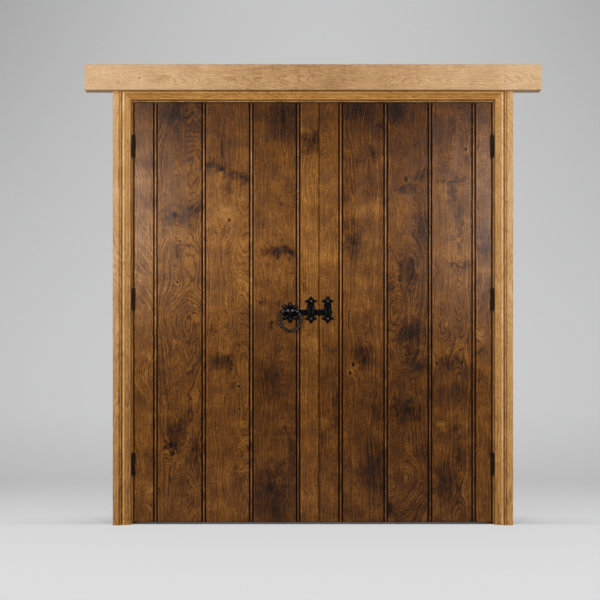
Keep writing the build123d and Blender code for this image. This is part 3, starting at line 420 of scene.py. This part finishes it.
stained_board(
    "right_board_3", depth=0.67, figure=1.25, seed=8.8, heart_aside=-30, heart_behind=-130, swing=45,
    knots=[(440, 1631, 11), (425, 835, 5), (437, 800, 5)],
    eyes=[(415, 1560, 60, 440, 140), (385, 400, 52, 400, 120), (400, 1030, 60, 200, 60)],
    stains=[(395, 1950, 80, 110, 0.26), (520, 1400, 60, 190, 0.34), (525, 1662, 45, 30, 0.35),
            (487, 1634, 50, 28, 0.3), (447, 1597, 50, 22, 0.3), (408, 1580, 36, 20, 0.22),
            (450, 1215, 70, 140, 0.34), (457, 905, 85, 90, 0.5), (469, 804, 70, 40, 0.3), (500, 750, 70, 34, 0.3),
            (438, 530, 85, 80, 0.3), (438, 1115, 1e3, 150, 0.1), (366, 68, 28, 50, 0.3),
            (496, 1201, 30, 30, -0.2), (395, 1130, 12, 70, -0.2)],
)
stained_board(
    "right_board_4", depth=0.6, figure=1.15, seed=9.1, heart_aside=20, heart_behind=20,
    knots=[(716, 1772, 8), (583, 760, 7), (701, 764, 7)],
    eyes=[(626, 1673, 50, 52, 36), (602, 1201, 48, 50, 32), (633, 950, 38, 120, 46), (659, 1810, 34, 220, 60)],
    stains=[(659, 1900, 14, 90, 0.25), (660, 1620, 70, 16, 0.3), (662, 1560, 24, 75, 0.3), (690, 1435, 22, 95, 0.35),
            (700, 1228, 80, 12, 0.4), (650, 765, 75, 55, 0.35), (662, 450, 28, 40, 0.3), (699, 304, 34, 70, 0.25),
            (640, 200, 85, 150, 0.4), (650, 615, 1e3, 150, 0.09), (598, 464, 28, 28, -0.25)],
)
stained_board(
    "right_board_5", depth=0.55, seed=10.6, heart_aside=110, heart_behind=50,
    eyes=[(799, 840, 40, 95, 32)],
    stains=[(808, 1335, 66, 140, 0.36), (805, 1090, 80, 120, 0.24), (779, 705, 24, 30, 0.25),
            (791, 880, 30, 60, -0.25)],
)

# %% [markdown]
# ## The framing behind the boards
# Stiles and rails are the same oak with the same stain, but nobody picked them for their figure, so two
# materials do: one with the grain upright for the stiles and one with it level for the rails.

# %% Stiles and rails
upright = oak("back_frame_stained_oak_upright", "Z", (0, 140), STAINED, depth=0.5, seed=12.0)
level_grain = oak("back_frame_stained_oak_level", "X", (1000, 150), STAINED, depth=0.5, seed=13.0)
dress(upright, *[name for name in nodes if name.endswith("_stile")])
dress(level_grain, *[name for name in nodes if "_rail_" in name])

# %% [markdown]
# ## Frame, architraves and lintel
# These were only waxed, so they keep the pale gold of oak. The mouldings were run along the grain. Each
# gets painted shade in its quirks and on its cove, and a painted highlight on its sharpest arris.

# %% Waxed oak
WAXED = (
    (0.0, "#E6C493"), (0.25, "#D0A366"), (0.45, "#BC8947"), (0.65, "#9F6B2D"), (0.85, "#744A1A"), (1.0, "#43290F"),
)
PALE = (
    (0.0, "#EACEA6"), (0.25, "#DAB68A"), (0.5, "#C59A69"), (0.75, "#A0723F"), (1.0, "#5E3E1E"),
)


def moulding_light_and_shade(edge, inward, middle=1000):
    """Painted shade and highlight along the profile of an architrave, which starts at edge and runs inward, in mm."""
    # painted shade in the two quirks, a painted highlight on the arris, painted shade on the cove and at the inner edge
    # how far in, how wide, and how much darker, or paler where it is below 0
    marks = ((30.0, 5.0, 0.3), (41.0, 6.5, 0.3), (50.0, 5.5, -0.25), (70.0, 13.0, 0.16), (84.0, 4.0, 0.45))
    return [full_length(edge + inward * step, wide, strength, middle) for step, wide, strength in marks]


# %% Jambs and frame head
JAMB_GAP = 3  # mm, between a leaf and the frame; the jambs and head get painted shade beside it
low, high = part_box("left_board_1")
rebate = JAMB_GAP - low[0] / MM
# painted shade, with some stain, on each jamb beside the gap
waxed_jamb = oak("jamb_waxed_oak", "Z", (0, 260), WAXED, depth=0.62, seed=14.0, polish=0.5,
                 lines=[full_length(-rebate, 5.5, 0.7), full_length(rebate, 5.5, 0.7)])
head_rebate = high[2] / MM + JAMB_GAP
# painted shade along the head beside the gap over the leaves
waxed_head = oak("frame_head_waxed_oak", "X", (2020, 200), WAXED, depth=0.43, seed=15.0, polish=0.5,
                 lines=[full_length(head_rebate, 5.5, 0.22, 0)])
dress(waxed_jamb, "left_jamb", "right_jamb")
dress(waxed_head, "frame_head")

# %% Architraves
ARCHITRAVE = 82.0  # mm, its full width, of which the lintel covers some above the door
IN_PROFILE = 60  # mm, from an architrave's outer edge to the heart of its tree
PAINTED_SHEEN_TOP = (0, 2050, WHOLE, 1300, -0.12)  # painted sheen: the left one is lighter at the top
PAINTED_SHADE_LOW = (0, 100, WHOLE, 1300, 0.12)  # painted shade: the lower half is darker

for side, sign, darkness, painted_fall_of_light in (("left", -1, 0.49, (PAINTED_SHEEN_TOP, PAINTED_SHADE_LOW)), ("right", 1, 0.39, (PAINTED_SHADE_LOW,))):
    piece = side + "_architrave"
    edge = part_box(piece)[0 if sign < 0 else 1][0] / MM
    dress(oak(piece + "_waxed_oak", "Z", (edge - sign * IN_PROFILE, 130), WAXED, depth=darkness,
              seed=16.0 + sign, swing=30.0, mottling=0.07, lines=[*moulding_light_and_shade(edge, -sign), *painted_fall_of_light],
              polish=0.48, shine=0.4), piece)
head_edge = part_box("head_architrave")[0][2] / MM + ARCHITRAVE
# a painted shadow of the lintel along the top of the head architrave
lintel_shadow = full_length(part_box("lintel")[0][2] / MM, 16.0, 0.3, 0)
dress(oak("head_architrave_waxed_oak", "X", (head_edge - IN_PROFILE, 130), WAXED, depth=0.47, seed=18.0,
          swing=30.0, mottling=0.07, lines=[lintel_shadow, *moulding_light_and_shade(head_edge, -1, 0)], polish=0.48),
      "head_architrave")

# %% Lintel
dress(oak("lintel_waxed_oak", "X", (2085, 30), PALE, depth=0.4, seed=19.0, swing=45.0, mottling=0.07, figure=0.8,
          knots=[(2098, -811, 5)],
          eyes=[(2095, -948, 34, 90, 14), (2105, -1035, 40, 60, 14)],
          stains=[(2095, -740, 30, 60, 0.15), (2095, -696, 16, 40, 0.12)],
          lines=[(2098, 0, WHOLE, 1000, 0.31)],  # painted light: darker in the middle and lighter at the ends, where the side lamps' sheen falls
          polish=0.45, shine=0.4), "lintel")

# %% [markdown]
# ## Black iron
# The latch is forged iron, blackened in the fire and sealed. The scale from the fire leaves a skin that is
# nearly black and still a little glossy, and the hammer leaves shallow flats about 7 mm across, which break a
# highlight into short sharp pieces. High spots get painted highlights, drawn as a dull grey.

# %% Blackened metal
GRIME = 9  # mm, a patch of soot
PITS = 1.6  # mm, between the pits of the scale
DENT_DEPTH = 0.0006  # m
GLINT_GREY = "#A39E97"  # the grey of the painted highlights


def blackened(name, base, worn, dent, polish, dents=0.5, shine=0.5, painted_glints=(), corner=None):
    """Dark forged metal, with flats of the given size in mm, and painted highlights in grey at given spots or corners.
    """
    material, tree, shader = blank(name, polish, shine)
    place = add(tree, "TexCoord").outputs["Object"]
    grime = add(tree, "TexNoise", {"Vector": place, "Scale": 1000 / GRIME, "Detail": 4.0})
    skin = add(tree, "ValToRGB", [grime], stops=((0.35, base), (0.8, worn)))
    spots = add(tree, "VectorMath", [place, (1000, 1000, 1000)], operation="MULTIPLY")
    glint_mask = soft_spots(tree, spots, 0.0, painted_glints)
    if corner:  # a value kept in the mesh says where its corners get painted highlights, and grime hides some of them
        edge = add(tree, "Attribute", attribute_name=corner)
        here = add(tree, "MapRange", [grime, 0.44, 0.6, 0.2, 1.0])
        glint_mask = add(tree, "Math", [edge.outputs["Fac"], here], operation="MULTIPLY")
    finish = add(tree, "MixRGB", [glint_mask, skin.outputs["Color"], tone(GLINT_GREY)])
    tree.links.new(finish.outputs[0], shader.inputs["Base Color"])
    rough = add(tree, "MapRange", [grime, 0.3, 0.75, polish - 0.04, polish + 0.08])
    tree.links.new(rough.outputs[0], shader.inputs["Roughness"])
    flats = add(tree, "TexVoronoi", {"Vector": place, "Scale": 1000 / dent}, feature="SMOOTH_F1")
    pits = add(tree, "TexNoise", {"Vector": place, "Scale": 1000 / PITS, "Detail": 2.0})
    surface = add(tree, "Math", [pits, 0.12, flats.outputs["Distance"]], operation="MULTIPLY_ADD")
    hammer = add(tree, "Bump", {"Strength": dents, "Distance": DENT_DEPTH, "Height": surface})
    tree.links.new(hammer.outputs[0], shader.inputs["Normal"])
    return material


def middle_of(name):
    """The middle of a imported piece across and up, in mm."""
    low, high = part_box(name)
    return (low[0] + high[0]) / 2 / MM, (low[2] + high[2]) / 2 / MM


# %% [markdown]
# ## Painted highlights on the latch, and the other metals
# The two ears that hold the ring, the upper petals, and the domes and edges of the straps get painted highlights,
# each an oval spot of grey. The screws are steel under japan, a baked black varnish that is a little brown and
# satin. The nails are cut steel that was blackened and has begun to rust, so they are browner and duller. The
# hinges are brass under a dark bronze skin, rolled and so almost smooth.

# %% Iron, steel and brass
RING_BAR = 6.2  # mm, half the thickness of the ring's bar, whose pins are at its middle
EARS_APART = 10.0  # mm, an ear from the middle of the rose
FINIAL = 41.0  # mm, from the middle of a strap to the middle of its finial
STRAP_EDGE = 9  # mm, from the middle of a strap to its edge

rose_x, rose_z = middle_of("latch_rose")
ears_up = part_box("ring_handle")[1][2] / MM - RING_BAR
# painted highlights on the two ears that hold the ring
painted_glints = [(rose_x + way * EARS_APART, ears_up + 1.5, 5.5, 5.5, 0.85) for way in (-1, 1)]
# and fainter ones on the top petal and an upper left one
painted_glints += [(rose_x, rose_z + 42, 4, 9, 0.15), (rose_x - 31, rose_z + 31, 5, 5, 0.15)]
# painted highlights on the domes of each strap's finials, and faint ones down its two edges
for strap in ("bar_guide", "bar_keeper"):
    x, z = middle_of(strap)
    painted_glints += [(x + 1, z + way * FINIAL, 6, 6, 0.5) for way in (-1, 1)]
    painted_glints += [(x + aside, z - 4, 2.5, 26, 0.08) for aside in (-STRAP_EDGE, STRAP_EDGE)]
iron = blackened("black_forged_iron", "#040404", "#0E0D0D", 7.0, 0.2, 0.25, 0.17, painted_glints=painted_glints)
# painted highlights along the forward corners of the twisted ring
twisted_iron = blackened("black_forged_iron_highlit_at_corners", "#040404", "#0E0D0D", 7.0, 0.3, 0.25, 0.1,
                         corner="corner")
# its worn grey is kept light, which also gives a painted highlight on the screw heads in the finials
japanned = blackened("japanned_steel_screws", "#161514", "#55524E", 3.0, 0.35, 0.2)
rusted = blackened("cut_nail_steel", "#140E0A", "#2A1D15", 2.5, 0.5, 0.3)
bronzed = blackened("dark_bronzed_brass", "#0B0806", "#21170F", 4.0, 0.45, 0.12, 0.12)
dress(iron, "latch_rose", "latch_boss", "latch_bar", "ring_handle", "bar_guide", "bar_keeper",
      "inner_rose", "inner_lever")
dress(japanned, "frame_screws", "left_leaf_screws", "right_leaf_screws")
dress(rusted, "left_leaf_nails", "right_leaf_nails")
dress(bronzed, "hinge_pins", *[name for name in nodes if name.endswith("_plate")])

# %% [markdown]
# ## The twisted ring
# A smith heats a square bar, twists it, and bends it round a cone, thick at the bottom and drawn thin to the two
# pins that turn in the ears of the boss. It could be a curve with a bevel, but a curve can't change from a round pin to
# a square bar. So a long bevelled box is cut into slices, and each slice is sized, twisted and set on the ring's
# line, as the smith does it.

# %% The ring's line
ring_low, ring_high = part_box("ring_handle")
ring_x = (ring_low[0] + ring_high[0]) / 2
ring_y = (ring_low[1] + ring_high[1]) / 2
BEND, HOOP = 12 * MM, 51.3 * MM  # the small bend beside each pin, and the large one
SHOULDER = math.radians(42)  # how far the small bend turns before the large one takes over
PIN_START = 6 * MM  # where each pin starts, from the middle of the ears
run = (HOOP - BEND) * math.sin(SHOULDER) - PIN_START
hoop_middle = ring_low[2] + RING_BAR * MM + HOOP
pivot_z = hoop_middle + (HOOP - BEND) * math.cos(SHOULDER) + BEND
parts = ((run, 0), (BEND * SHOULDER, 1 / BEND), (HOOP * (2 * math.pi - 2 * SHOULDER), 1 / HOOP),
         (BEND * SHOULDER, 1 / BEND), (run, 0))
ring_length = sum(length for length, _ in parts)


def ring_place(walked):
    """Where a walk along the ring's line has come to, and the angle it has turned through."""
    x, z, turned = -PIN_START, 0.0, 0.0
    for length, curve in parts:
        step = min(walked, length)
        if curve:
            x += (math.sin(turned) - math.sin(turned + curve * step)) / curve
            z += (math.cos(turned + curve * step) - math.cos(turned)) / curve
            turned += curve * step
        else:
            x -= math.cos(turned) * step
            z -= math.sin(turned) * step
        walked -= step
        if walked <= 0:
            break
    return x, z, turned


end_x, end_z, _ = ring_place(ring_length)
print("ring's line:", round(ring_length / MM, 1), "mm; it comes back to", round(end_x / MM, 2), round(end_z / MM, 2))

# %% The ring
SLICES = 132
BESIDE = 0.5  # how much painted highlight the bar gets beside a corner
CORNER_OUT = 1.27  # a corner after its bevel, in half sides from the bar's middle
QUARTER_TWIST = 19 * MM  # the corners come round again after this length
PIN_HALF, THIN_HALF, THICK_HALF = 2.4 * MM, 4.8 * MM, 6.1 * MM  # half the bar's side
PIN_RUN, PIN_TAPER = 11.2 * MM, 9 * MM  # the length of a pin, and of its swell into the bar
ROUNDING = 0.34  # of half a side, taken off each corner
GLINT_FALLOFF = 12  # how fast the painted highlight ends away from the front, as a power

bm = bmesh.new()
bmesh.ops.create_cube(bm, size=2.0)
long_edges = [e for e in bm.edges if abs(e.verts[0].co.x - e.verts[1].co.x) > 1]
bmesh.ops.bevel(bm, geom=long_edges, offset=ROUNDING, segments=2, profile=0.5, affect="EDGES", material=-1)
long_edges = [e for e in bm.edges if abs(e.verts[0].co.x - e.verts[1].co.x) > 1]
bmesh.ops.subdivide_edges(bm, edges=long_edges, cuts=SLICES - 1)
corner = bm.verts.layers.float.new("corner")  # where the painted highlight goes: 1 along the bar's four corners, less beside them
slices = {}
for vert in bm.verts:
    vert[corner] = 1.0 if abs(abs(vert.co.y) - abs(vert.co.z)) < 0.05 else BESIDE
    slices.setdefault(round((vert.co.x + 1) / 2 * SLICES), []).append(vert)
for number, verts in slices.items():
    walked = number / SLICES * ring_length
    x, z, turned = ring_place(walked)
    inset = min(walked, ring_length - walked)
    swell = math.sin(math.pi * number / SLICES) ** 2
    half = THIN_HALF + (THICK_HALF - THIN_HALF) * swell
    half = PIN_HALF + (half - PIN_HALF) * min(1, max(0, (inset - PIN_RUN) / PIN_TAPER)) ** 0.6
    twist = (walked - ring_length / 2) / QUARTER_TWIST * math.pi / 2
    flat = Matrix.Diagonal((0, half, half, 1))
    turn = Matrix.Rotation(twist, 4, "X")
    face = Matrix.Rotation(turned, 4, "Y").inverted()
    place = Matrix.Translation((ring_x + x, ring_y, pivot_z + z))
    bmesh.ops.transform(bm, matrix=place @ face @ turn @ flat, verts=verts)
    for vert in verts:  # the painted highlight stays on the corners that stand forward
        forward = (ring_y - vert.co.y) / (half * CORNER_OUT)
        vert[corner] *= min(1.0, max(0.0, forward)) ** GLINT_FALLOFF
bmesh.ops.recalc_face_normals(bm, faces=bm.faces)


def finished(bm, name, material, body, slot, *replaced):
    """Turns a bmesh into a piece that rides on a body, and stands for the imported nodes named."""
    mesh = bpy.data.meshes.new(name)
    bm.to_mesh(mesh)
    bm.free()
    mesh.materials.append(material)
    for face in mesh.polygons:
        face.use_smooth = True
    piece = bpy.data.objects.new(name, mesh)
    scene.collection.objects.link(piece)
    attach(piece, body)
    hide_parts(*replaced)
    print(name, len(mesh.polygons), "faces")
    return piece


twisted_ring = finished(bm, "twisted_ring", twisted_iron, "ring", "black_iron", "ring_handle")
smooth = twisted_ring.modifiers.new("smooth", "SUBSURF")
smooth.levels = smooth.render_levels = 1

# %% [markdown]
# ## Floor
# The doors stand on a board painted a pale matt grey. Close to them it is plain paint, which takes their shadow.
# Further out the same paint is shown evenly bright, and then it fades away, so that the floor has no edge where the
# backdrop starts. A roll of paper that curves up behind would do this in front, but it would show from the sides
# and stand in the way from behind. The gap under the leaves stays plain paint, as no light reaches it.

# %% Floor
FLOOR = 9.0  # m, from the middle of the doorway to the floor's edges
FADE = (1.5, 3.0)  # m from the middle, where the floor gives way to the backdrop
SHADOW = (0.07, 0.4)  # m from the doors, where plain paint gives way to even paint
ALONG = 0.25  # what a distance along the wall counts for, as the doors are wide and thin
DOOR_FACE = (-0.004, 0.002)  # m, from in front of the leaves to under them
LEAF_ENDS = (0.84, 0.90)  # m from the middle, from under the leaves to past the jambs
FRAME_BACK = (0.12, 0.3)  # m, from under the frame to behind it
PAINT = ((0.0, "#E0E0E1"), (0.19, "#DDDDDE"), (0.36, "#D9D9DA"), (0.57, "#D3D3D4"), (0.93, "#C6C6C7"),
         (1.0, "#C4C4C5"))
PAINT_RUN = (-0.6, 1.8)  # m, from in front of the doors to behind them, over which the paint darkens


def studio_floor(size):
    """A pale floor that the eye loses in the distance."""
    bm = bmesh.new()
    bmesh.ops.create_grid(bm, x_segments=1, y_segments=1, size=size)
    mesh = bpy.data.meshes.new("studio_floor")
    bm.to_mesh(mesh)
    bm.free()
    floor = bpy.data.objects.new("studio_floor", mesh)
    scene.collection.objects.link(floor)
    return floor


floor = studio_floor(FLOOR)
material, tree, shader = blank("matt_studio_floor", 0.9)
spot = add(tree, "TexCoord").outputs["Object"]
place = add(tree, "SeparateXYZ", [spot])
paint = add(tree, "ValToRGB", [add(tree, "MapRange", [place.outputs["Y"], *PAINT_RUN, 0.0, 1.0])], stops=PAINT)
tree.links.new(paint.outputs[0], shader.inputs["Base Color"])

# how evenly the paint is shown, from 0 in the gap under the leaves to 0.85 in front of them
strip = add(tree, "VectorMath", [spot, (ALONG, 1, 0)], operation="MULTIPLY")
beside = add(tree, "VectorMath", [strip], operation="LENGTH").outputs["Value"]
far = add(tree, "MapRange", [beside, *SHADOW, 0.0, 0.8], interpolation_type="SMOOTHSTEP")
width = add(tree, "Math", [place.outputs["X"]], operation="ABSOLUTE")
outside = add(tree, "MapRange", [width, *LEAF_ENDS, 0.0, 1.0])
past = add(tree, "MapRange", [place.outputs["Y"], *FRAME_BACK, 0.0, 1.0])
open_air = add(tree, "Math", [outside, past], operation="MAXIMUM")
far = add(tree, "Math", [far, open_air], operation="MULTIPLY")
front = add(tree, "MapRange", [place.outputs["Y"], *DOOR_FACE, 0.85, 0.0])
even = add(tree, "Math", [far, front], operation="MAXIMUM")
seen = add(tree, "Math", [even, add(tree, "LightPath").outputs["Is Camera Ray"]], operation="MULTIPLY")
level = add(tree, "MixShader", [seen, shader, add(tree, "Emission", [paint])])

reach = add(tree, "VectorMath", [spot], operation="LENGTH").outputs["Value"]
gone = add(tree, "MapRange", [reach, *FADE, 0.0, 1.0], interpolation_type="SMOOTHSTEP")
clear = add(tree, "MixShader", [gone, level, add(tree, "BsdfTransparent")])
tree.links.new(clear.outputs[0], tree.nodes["Material Output"].inputs["Surface"])
floor.data.materials.append(material)
print(floor.name, 2 * FLOOR, "m wide, gone", FADE[1], "m from the doors")

# %% [markdown]
# ## Backdrop
# The backdrop is a grey wall that falls off to the sides and the top, as a wall does behind two lamps. It could be
# a mesh, but as the world behind everything it looks right from every side. Only the camera and polished surfaces
# see it. The wood is lit by an even fill instead, so the backdrop can be matched without changing the wood.
# Polished faces that look back past the camera see a darker studio, or the iron would turn grey.

# %% World
BRIGHTEST = 0.02  # to the right of the middle
SIDES, CORNERS, TOP = 0.27, 6.2, 0.07  # how fast the wall darkens sideways, in its upper corners and upwards
SKIRTING = (-0.12, -0.05)  # below the horizon, where the wall meets the floor and darkens once more
WALL = ((0.0, "#CDCDCE"), (0.05, "#BFBFC0"), (0.1, "#B1B1B2"), (0.2, "#989899"))
FILL = (0.27, 0.27, 0.275, 1)  # the light from all round
FRONT = (-0.6, 0.2)  # from behind the camera, where it is dark, to the wall

world = bpy.data.worlds.new("studio_air")
scene.world = world
world.use_nodes = True
tree = world.node_tree
sight = add(tree, "SeparateXYZ", [add(tree, "TexCoord").outputs["Generated"]])
up = add(tree, "Math", [sight.outputs["Z"], sight.outputs["Z"]], operation="MULTIPLY")
aside = add(tree, "Math", [sight.outputs["X"], BRIGHTEST], operation="SUBTRACT")
across = add(tree, "Math", [aside, aside], operation="MULTIPLY")
falloff = add(tree, "Math", [up, CORNERS, SIDES], operation="MULTIPLY_ADD")
sides = add(tree, "Math", [across, falloff], operation="MULTIPLY")
above = add(tree, "Math", [sight.outputs["Z"], 0.0], operation="MAXIMUM")
fade = add(tree, "Math", [above, TOP, sides], operation="MULTIPLY_ADD")
foot = add(tree, "MapRange", [sight.outputs["Z"], *SKIRTING, 0.035, 0.0])
wall = add(tree, "ValToRGB", [add(tree, "Math", [fade, foot], operation="ADD")], stops=WALL)
rays = add(tree, "LightPath")
seen = add(tree, "Math", [rays.outputs["Is Camera Ray"], rays.outputs["Is Glossy Ray"]], operation="MAXIMUM")
seen = add(tree, "Math", [seen, rays.outputs["Is Transmission Ray"]], operation="MAXIMUM")
ahead = add(tree, "MapRange", [sight.outputs["Y"], *FRONT, 0.12, 1.0])
dim = add(tree, "VectorMath", {0: wall.outputs["Color"], "Scale": ahead.outputs[0]}, operation="SCALE")
mirrored = add(tree, "MixRGB", [rays.outputs["Is Glossy Ray"], wall.outputs["Color"], dim.outputs[0]])
air = add(tree, "MixRGB", [seen, FILL, mirrored])
tree.links.new(air.outputs[0], tree.nodes["Background"].inputs["Color"])
tree.nodes["Background"].inputs["Strength"].default_value = 1.0
print("world:", world.name, "with", len(tree.nodes), "nodes")


# %% [markdown]
# ## Lamps
# Two tall soft lamps stand in front, one each side, where their sheen on the wax falls on the outer boards at the
# height of a person's chest. A third hangs above and in front, and puts the lintel's shadow on the frame. Bare bulbs
# would be simpler, but their small hard highlights would hide the grain.

# %% Lamps
def soft_lamp(name, place, aim, size, watts):
    """A soft box at a place, turned towards its aim, with its width and height in metres."""
    light = bpy.data.lights.new(name, "AREA")
    light.shape, light.size, light.size_y, light.energy = "RECTANGLE", size[0], size[1], watts
    lamp = bpy.data.objects.new(name, light)
    lamp.location = place
    lamp.rotation_euler = (Vector(aim) - Vector(place)).to_track_quat("-Z", "Y").to_euler()
    scene.collection.objects.link(lamp)
    print(name, watts, "W, at", place)


soft_lamp("left_lamp", (-2.0, -3.7, 2.15), (-0.2, 0, 1.3), (0.9, 1.2), 68)
soft_lamp("right_lamp", (2.0, -3.7, 2.1), (0.2, 0, 1.3), (0.9, 1.4), 60)
soft_lamp("top_lamp", (0, -3.2, 4.4), (0, 0, 1.2), (3.5, 1.2), 36)

# %% [markdown]
# ## Camera
# The lens stands level at three quarters of a metre, straight in front and a little to the left, and its shift
# alone brings the head of the door into the picture, so that every upright stays upright. Tilting the camera up
# would make the jambs lean together.

# %% Camera
SENSOR, LENS = 36, 53.73  # mm
RISE = 65.5 / 600  # how far the lens is shifted up, as a share of the picture's width
STAND = (-0.0607, -4.228, 0.750)  # m

lens = bpy.data.cameras.new("camera")
lens.lens = LENS
lens.sensor_width = SENSOR
lens.shift_y = RISE
camera = bpy.data.objects.new("camera", lens)
camera.location = STAND
camera.rotation_euler = (math.pi / 2, 0, 0)
scene.collection.objects.link(camera)
scene.camera = camera
scene.view_settings.view_transform = "Standard"
print("camera:", round(math.degrees(lens.angle), 1), "degrees wide, at", STAND)
